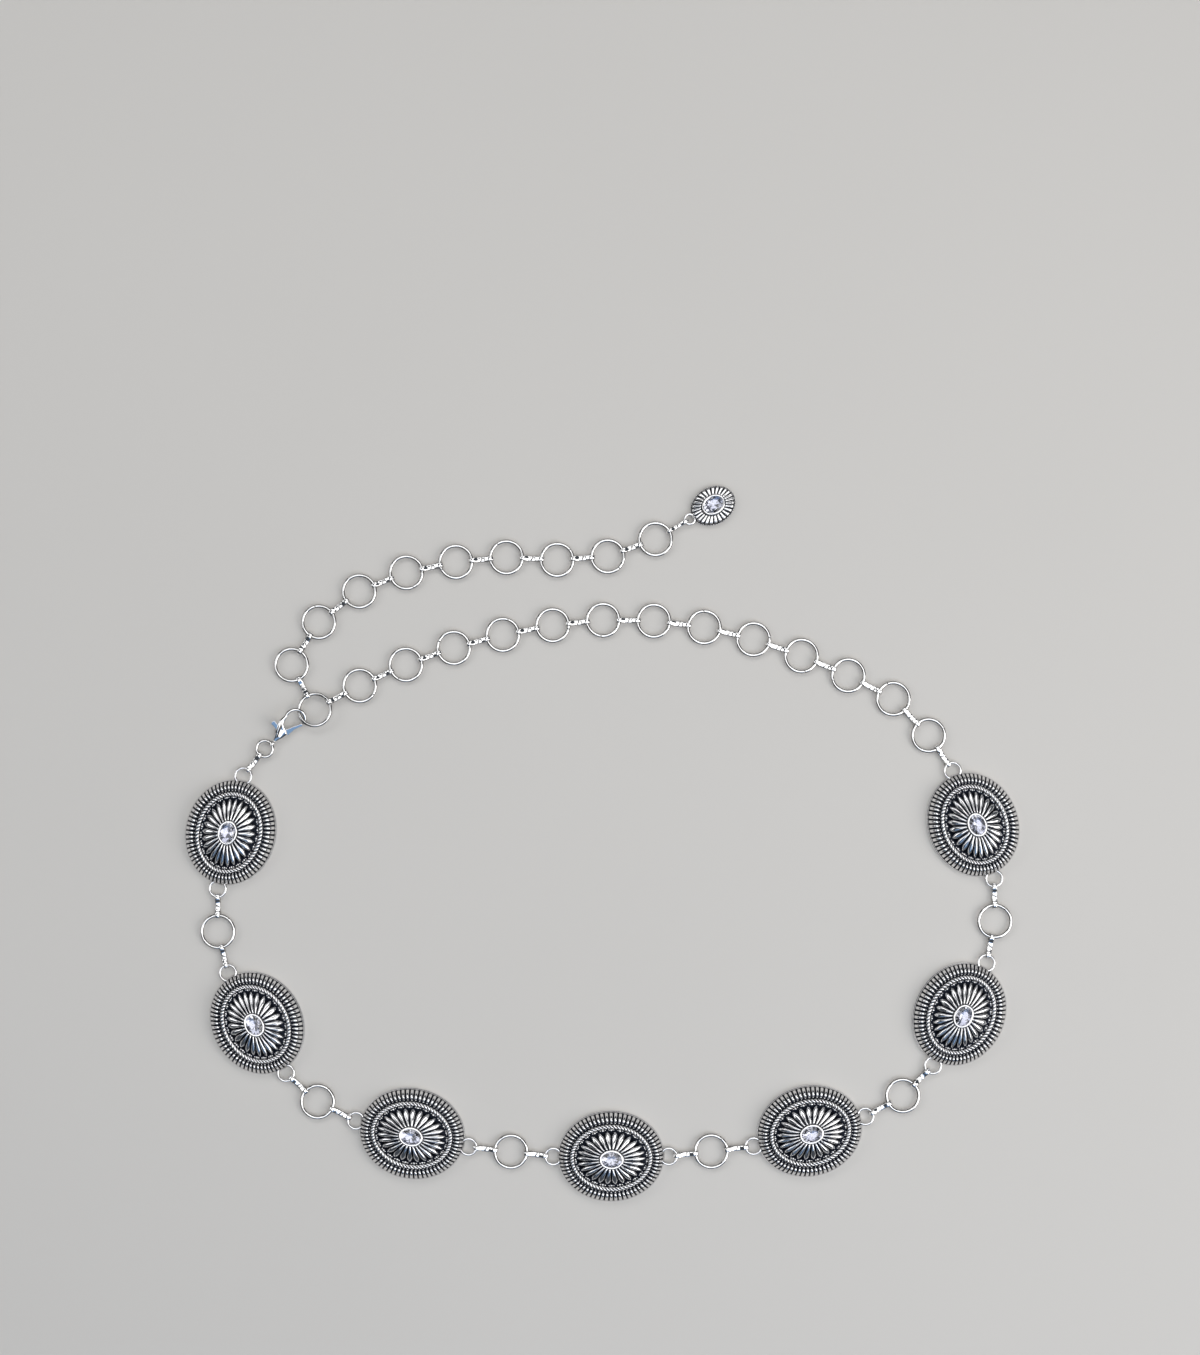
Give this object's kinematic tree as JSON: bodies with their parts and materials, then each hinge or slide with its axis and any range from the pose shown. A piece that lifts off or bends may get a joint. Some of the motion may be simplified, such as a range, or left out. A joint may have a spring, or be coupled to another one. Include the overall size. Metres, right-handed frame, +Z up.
{
  "type": "waist chain",
  "caption": "Concho waist chain fastened in a loop: cast oval conchos with cut stones, round rings on folded links, ring extension, lobster clasp and free tail with a pendant.",
  "frame": {"origin": "bottom centre of the box round the whole chain, on the surface that it lies on", "axes": "+Z up from that surface, +X to the right as the chain is seen from above with its ring extension at the back, +Y towards that extension"},
  "size_m": [0.3328, 0.2854, 0.0094],
  "materials": {
    "antique_silver": "antique silver plate, bright on what stands out and oxidised black in the recesses",
    "polished_silver": "polished silver plate",
    "cut_stone": "polished, clear with a grey-lilac tint, foil behind it"
  },
  "bodies": {
    "chain": {"concho_1": "antique_silver", "concho_2": "antique_silver", "concho_3": "antique_silver", "concho_4": "antique_silver", "concho_5": "antique_silver", "concho_6": "antique_silver", "concho_7": "antique_silver", "stone_1": "cut_stone", "stone_2": "cut_stone", "stone_3": "cut_stone", "stone_4": "cut_stone", "stone_5": "cut_stone", "stone_6": "cut_stone", "stone_7": "cut_stone", "spacer_ring_1": "polished_silver", "spacer_ring_2": "polished_silver", "spacer_ring_3": "polished_silver", "spacer_ring_4": "polished_silver", "spacer_ring_5": "polished_silver", "spacer_ring_6": "polished_silver", "spacer_link_1a": "polished_silver", "spacer_link_1b": "polished_silver", "spacer_link_2a": "polished_silver", "spacer_link_2b": "polished_silver", "spacer_link_3a": "polished_silver", "spacer_link_3b": "polished_silver", "spacer_link_4a": "polished_silver", "spacer_link_4b": "polished_silver", "spacer_link_5a": "polished_silver", "spacer_link_5b": "polished_silver", "spacer_link_6a": "polished_silver", "spacer_link_6b": "polished_silver", "lead_link": "polished_silver", "clasp_ring": "polished_silver", "clasp_body": "polished_silver", "extension_chain": "polished_silver", "tail_chain": "polished_silver", "pendant": "antique_silver", "pendant_stone": "cut_stone"},
    "lever": {"clasp_lever": "polished_silver"}
  },
  "joints": [
    {"name": "clasp_hinge", "type": "hinge", "parent": "chain", "child": "lever", "pos_m": [-0.12741, 0.04442, 0.00222], "axis": [0.2585, -0.3343, 0.9063], "range_deg": [0, 25], "stiffness_Nm_per_rad": 0.01, "springref_deg": -17.19}
  ]
}
